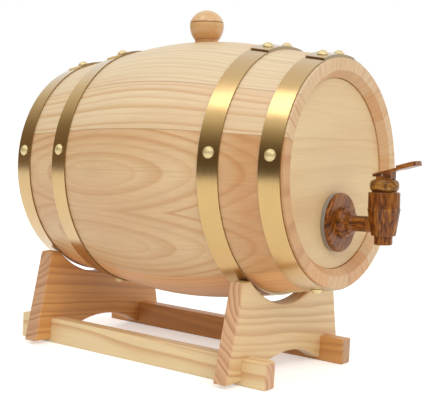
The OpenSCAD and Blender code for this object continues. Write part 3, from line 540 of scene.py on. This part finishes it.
def plainFinish(name, look):
    # the washers and what is inside the tap, each with a faint mottle from its making
    material, tree = newMaterial(name)
    place = addNode(tree, "ShaderNodeTexCoord")
    mottle = addNode(tree, "ShaderNodeTexNoise", {"Vector": place.outputs["Object"],
        "Scale": look["scale"], "Detail": 2.0})
    tone = addNode(tree, "ShaderNodeMix", {"Factor": mottle.outputs["Fac"],
        "A": hexColour(look["colour"]), "B": hexColour(look["other"])}, data_type="RGBA").outputs["Result"]
    bump = addNode(tree, "ShaderNodeBump", {"Height": mottle.outputs["Fac"], "Strength": 0.06,
        "Distance": 0.0002}).outputs[0]
    shader = addNode(tree, "ShaderNodeBsdfPrincipled", {"Base Color": tone,
        "Roughness": look["rough"], "Metallic": look.get("metal", 0.0), "Normal": bump,
        "Transmission Weight": look.get("clear", 0.0)})
    addNode(tree, "ShaderNodeOutputMaterial", {"Surface": shader.outputs[0]})
    return material


silicone = plainFinish("mouldedClearSilicone", {"colour": "#BFB7AB", "other": "#B1A89B",
    "rough": 0.42, "scale": 200.0, "clear": 0.35})
wear("flange_washer", silicone)
wear("inner_washer", silicone)
wear("valve_stem", plainFinish("mouldedAcetal", {"colour": "#3E2A1E", "other": "#4A3426",
    "rough": 0.4, "scale": 300.0}))
wear("seat_cup", plainFinish("mouldedRubber", {"colour": "#1B1B1B", "other": "#262626",
    "rough": 0.7, "scale": 500.0}))
steel = plainFinish("drawnStainlessWire", {"colour": "#B9BABB", "other": "#A6A8AA", "rough": 0.28,
    "metal": 1.0, "scale": 400.0})
wear("valve_spring", steel)
wear("lever_pin", steel)
print("bung and tap dressed")

# the closing spring, wound from round wire: it stands on the stem's collar and moves with the stem;
# lengths in metres
spring = {
    "wire": 0.0008,
    "round": 14,        # sides of the wire
    "steps": 40,        # to one curl
    "middle": 0.007,    # diameter to the middle of the wire
    "curls": 6,
    "low": 0.0031,      # middle of the wire over the shaft's axis
    "high": 0.0227,
    "travel": 0.0018,
}
bpy.ops.object.select_all(action="DESELECT")
bpy.ops.mesh.primitive_circle_add(vertices=spring["round"], radius=spring["wire"] / 2,
    location=(spring["middle"] / 2, 0, 0), rotation=(radians(90), 0, 0))
coil = bpy.context.object
coil.name = "closingSpring"
bpy.ops.object.transform_apply(location=True, rotation=True, scale=True)
winding = coil.modifiers.new("winding", "SCREW")
winding.axis = "Z"
winding.screw_offset = (spring["high"] - spring["low"]) / spring["curls"]
winding.iterations = spring["curls"]
winding.steps = winding.render_steps = spring["steps"]
bpy.ops.object.modifier_apply(modifier="winding")
bpy.ops.object.mode_set(mode="EDIT")
bpy.ops.mesh.select_all(action="SELECT")
bpy.ops.mesh.remove_doubles(threshold=0.000005)
bpy.ops.mesh.fill_holes(sides=spring["round"])  # the two cut ends of the wire
bpy.ops.mesh.select_all(action="SELECT")
bpy.ops.mesh.normals_make_consistent(inside=False)
bpy.ops.object.mode_set(mode="OBJECT")
bpy.ops.object.shade_smooth_by_angle(angle=radians(40))
coil.rotation_euler = upTurn
coil.location = Vector(tapCentre) + tapUp * spring["low"]
bpy.ops.object.transform_apply(location=True, rotation=True, scale=True)
coil.data.materials.append(steel)
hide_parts("valve_spring")
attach(coil, "stem")
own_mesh(coil)
print("closing spring wound")

# the floor and the light round the part; a range of places is followed by the values there
stage = {
    "floorSize": 60.0,
    "floorReach": (0.12, 0.9),
    "floorLift": (0.42, 0.46),      # the paper's glow, so that it stays white in the picture
    "wallRadius": 1.6,
    "wallHeight": 1.5,
    "wallGlow": [(0.0, "#5C4E3A"), (1.0, "#DAD8CE"), (0.30, "#5C4E3A"), (0.51, "#6E6350"),
        (0.83, "#BCB6A2")],         # by height, ends first
    "behindReach": (0.3, 1.4),
    "behindGain": (1.0, 2.1),       # behind the rear head the cloth is brighter
    "beyondReach": (0.2, 1.1),
    "beyondTone": "#F4F3EF",
    "skyLight": 0.66,
    "skySeen": 1.0,
}

bpy.ops.object.select_all(action="DESELECT")
bpy.ops.mesh.primitive_plane_add(size=stage["floorSize"], location=(0, 0, 0))
floor = bpy.context.object
floor.name = "floor"
floorMaterial, tree = newMaterial("mattPaperFloor")
ray = addNode(tree, "ShaderNodeLightPath")
seen = addNode(tree, "ShaderNodeMath", {0: ray.outputs["Is Camera Ray"], 1: ray.outputs["Is Glossy Ray"]},
    operation="MAXIMUM").outputs[0]
seen = addNode(tree, "ShaderNodeMath", {0: seen, 1: ray.outputs["Is Transmission Ray"]},
    operation="MAXIMUM").outputs[0]
place = addNode(tree, "ShaderNodeTexCoord")
away = addNode(tree, "ShaderNodeVectorMath", {0: place.outputs["Object"]},
    operation="LENGTH").outputs["Value"]
lift = addNode(tree, "ShaderNodeMapRange", {"Value": away, "From Min": stage["floorReach"][0],
    "From Max": stage["floorReach"][1], "To Min": stage["floorLift"][0],
    "To Max": stage["floorLift"][1]}).outputs[0]
lift = addNode(tree, "ShaderNodeMath", {0: seen, 1: lift}, operation="MULTIPLY").outputs[0]
paper = addNode(tree, "ShaderNodeBsdfPrincipled", {"Base Color": hexColour("#F4F4F2"), "Roughness": 0.95,
    "Specular IOR Level": 0.0, "Emission Color": (1, 1, 1, 1), "Emission Strength": lift})
addNode(tree, "ShaderNodeOutputMaterial", {"Surface": paper.outputs[0]})
floor.data.materials.append(floorMaterial)

# a dark studio wall that only mirror-like surfaces see: it draws the dark band round the brass
bpy.ops.object.select_all(action="DESELECT")
bpy.ops.mesh.primitive_cylinder_add(vertices=96, radius=stage["wallRadius"], depth=stage["wallHeight"],
    end_fill_type="NOTHING", location=(0, 0, stage["wallHeight"] / 2))
wall = bpy.context.object
wall.name = "studioWall"
wallMaterial, tree = newMaterial("darkFlagCloth")
place = addNode(tree, "ShaderNodeTexCoord")
spot = addNode(tree, "ShaderNodeSeparateXYZ", {0: place.outputs["Object"]})
level = addNode(tree, "ShaderNodeMapRange", {"Value": spot.outputs[2],
    "From Min": -stage["wallHeight"] / 2, "From Max": stage["wallHeight"] / 2}).outputs[0]
fade = addNode(tree, "ShaderNodeValToRGB", {"Fac": level})
setRamp(fade, stage["wallGlow"])
behind = addNode(tree, "ShaderNodeMapRange", {"Value": spot.outputs[1],
    "From Min": stage["behindReach"][0], "From Max": stage["behindReach"][1],
    "To Min": stage["behindGain"][0], "To Max": stage["behindGain"][1]}).outputs[0]
# beyond the cask, on the right, the studio stays white
beyond = addNode(tree, "ShaderNodeMapRange", {"Value": spot.outputs[0],
    "From Min": stage["beyondReach"][0], "From Max": stage["beyondReach"][1]}).outputs[0]
cloth = addNode(tree, "ShaderNodeMix", {"Factor": beyond, "A": fade.outputs["Color"],
    "B": hexColour(stage["beyondTone"])}, data_type="RGBA").outputs["Result"]
strength = addNode(tree, "ShaderNodeMix", {"Factor": beyond, "A": behind,
    "B": 1.0}).outputs["Result"]
glow = addNode(tree, "ShaderNodeEmission", {"Color": cloth, "Strength": strength})
addNode(tree, "ShaderNodeOutputMaterial", {"Surface": glow.outputs[0]})
wall.data.materials.append(wallMaterial)
wall.visible_camera = False
wall.visible_diffuse = False
wall.visible_shadow = False
wall.visible_transmission = False

world = bpy.data.worlds.new("paleStudio")
bpy.context.scene.world = world
world.use_nodes = True
tree = world.node_tree
tree.nodes.clear()
ray = addNode(tree, "ShaderNodeLightPath")
seen = addNode(tree, "ShaderNodeMath", {0: ray.outputs["Is Camera Ray"],
    1: ray.outputs["Is Transmission Ray"]}, operation="MAXIMUM").outputs[0]
seen = addNode(tree, "ShaderNodeMath", {0: seen, 1: ray.outputs["Is Glossy Ray"]},
    operation="MAXIMUM").outputs[0]
strength = addNode(tree, "ShaderNodeMapRange", {"Value": seen, "To Min": stage["skyLight"],
    "To Max": stage["skySeen"]}).outputs[0]
sky = addNode(tree, "ShaderNodeBackground", {"Color": (1, 1, 1, 1), "Strength": strength})
addNode(tree, "ShaderNodeOutputWorld", {"Surface": sky.outputs[0]})

lamps = {
    # name: place, aim, width, height, watts
    "highSoftbox": ((-0.95, 0.45, 2.10), (0, 0, 0.1), 0.8, 0.9, 6.5),
    "keySoftbox": ((-0.9, -1.3, 1.5), (0, 0, 0.1), 1.2, 1.0, 12.0),
    "fillSoftbox": ((1.6, -1.0, 1.2), (0, 0, 0.1), 1.2, 1.2, 5.0),
}
for lampName, (lampPlace, aim, width, height, watts) in lamps.items():
    data = bpy.data.lights.new(lampName, "AREA")
    data.shape, data.size, data.size_y, data.energy = "RECTANGLE", width, height, watts
    lamp = bpy.data.objects.new(lampName, data)
    lamp.location = lampPlace
    lamp.rotation_euler = (Vector(aim) - Vector(lampPlace)).to_track_quat("-Z", "Y").to_euler()
    bpy.context.scene.collection.objects.link(lamp)

# solved from the stand's corners and the hoops' edges in the photograph
photoView = {
    "lens": 84.71,
    "sensor": 36.0,
    "place": (-0.58740, -0.40848, 0.17006),
    "turn": (85.3014, -2.7638, -54.3293),
}
cameraData = bpy.data.cameras.new("photoCamera")
cameraData.lens, cameraData.sensor_width = photoView["lens"], photoView["sensor"]
camera = bpy.data.objects.new("photoCamera", cameraData)
camera.location = photoView["place"]
camera.rotation_euler = [radians(angle) for angle in photoView["turn"]]
bpy.context.scene.collection.objects.link(camera)
bpy.context.scene.camera = camera
bpy.context.scene.view_settings.view_transform = "Standard"
print("stage, light and camera set")
